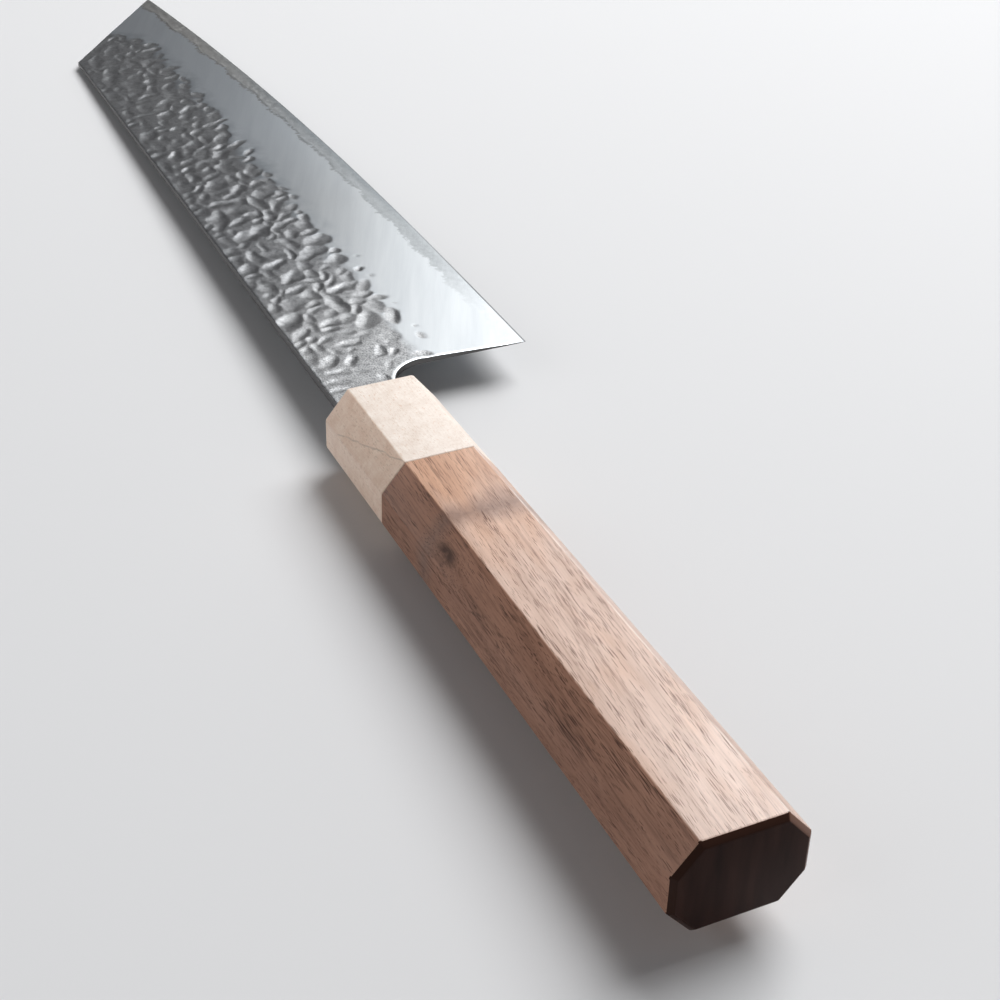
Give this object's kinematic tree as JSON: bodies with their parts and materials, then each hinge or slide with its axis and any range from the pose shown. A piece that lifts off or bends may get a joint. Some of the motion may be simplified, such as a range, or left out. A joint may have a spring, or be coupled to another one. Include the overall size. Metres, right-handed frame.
{
  "type": "kiritsuke knife",
  "caption": "Kitchen knife with a hammered and ground laminated blade, a straight angled tip and an octagonal handle in two woods.",
  "frame": {"origin": "centre of the bounding box in plan, on the plane of the handle's lower cheek, which the knife lies on", "axes": "+X from the butt to the tip along the handle's axis, +Y from the cutting edge to the spine, +Z out of the blade's right face"},
  "size_m": [0.3998, 0.0548, 0.0188],
  "materials": {
    "core_steel": "finely ground hard steel, bare along the cutting edge",
    "clad_steel": "hammered and grained forged skin, ground bright below the hammering",
    "pale_maple": "sanded and oiled, satin",
    "walnut": "sanded and oiled, satin, polished end grain",
    "dowel_wood": "turned, unfinished",
    "cured_resin": "cured, smooth"
  },
  "bodies": {
    "root": {"blade_core": "core_steel", "cladding_right": "clad_steel", "cladding_left": "clad_steel", "ferrule": "pale_maple", "handle_body": "walnut", "handle_dowel": "dowel_wood", "tang_bedding": "cured_resin"}
  },
  "joints": []
}
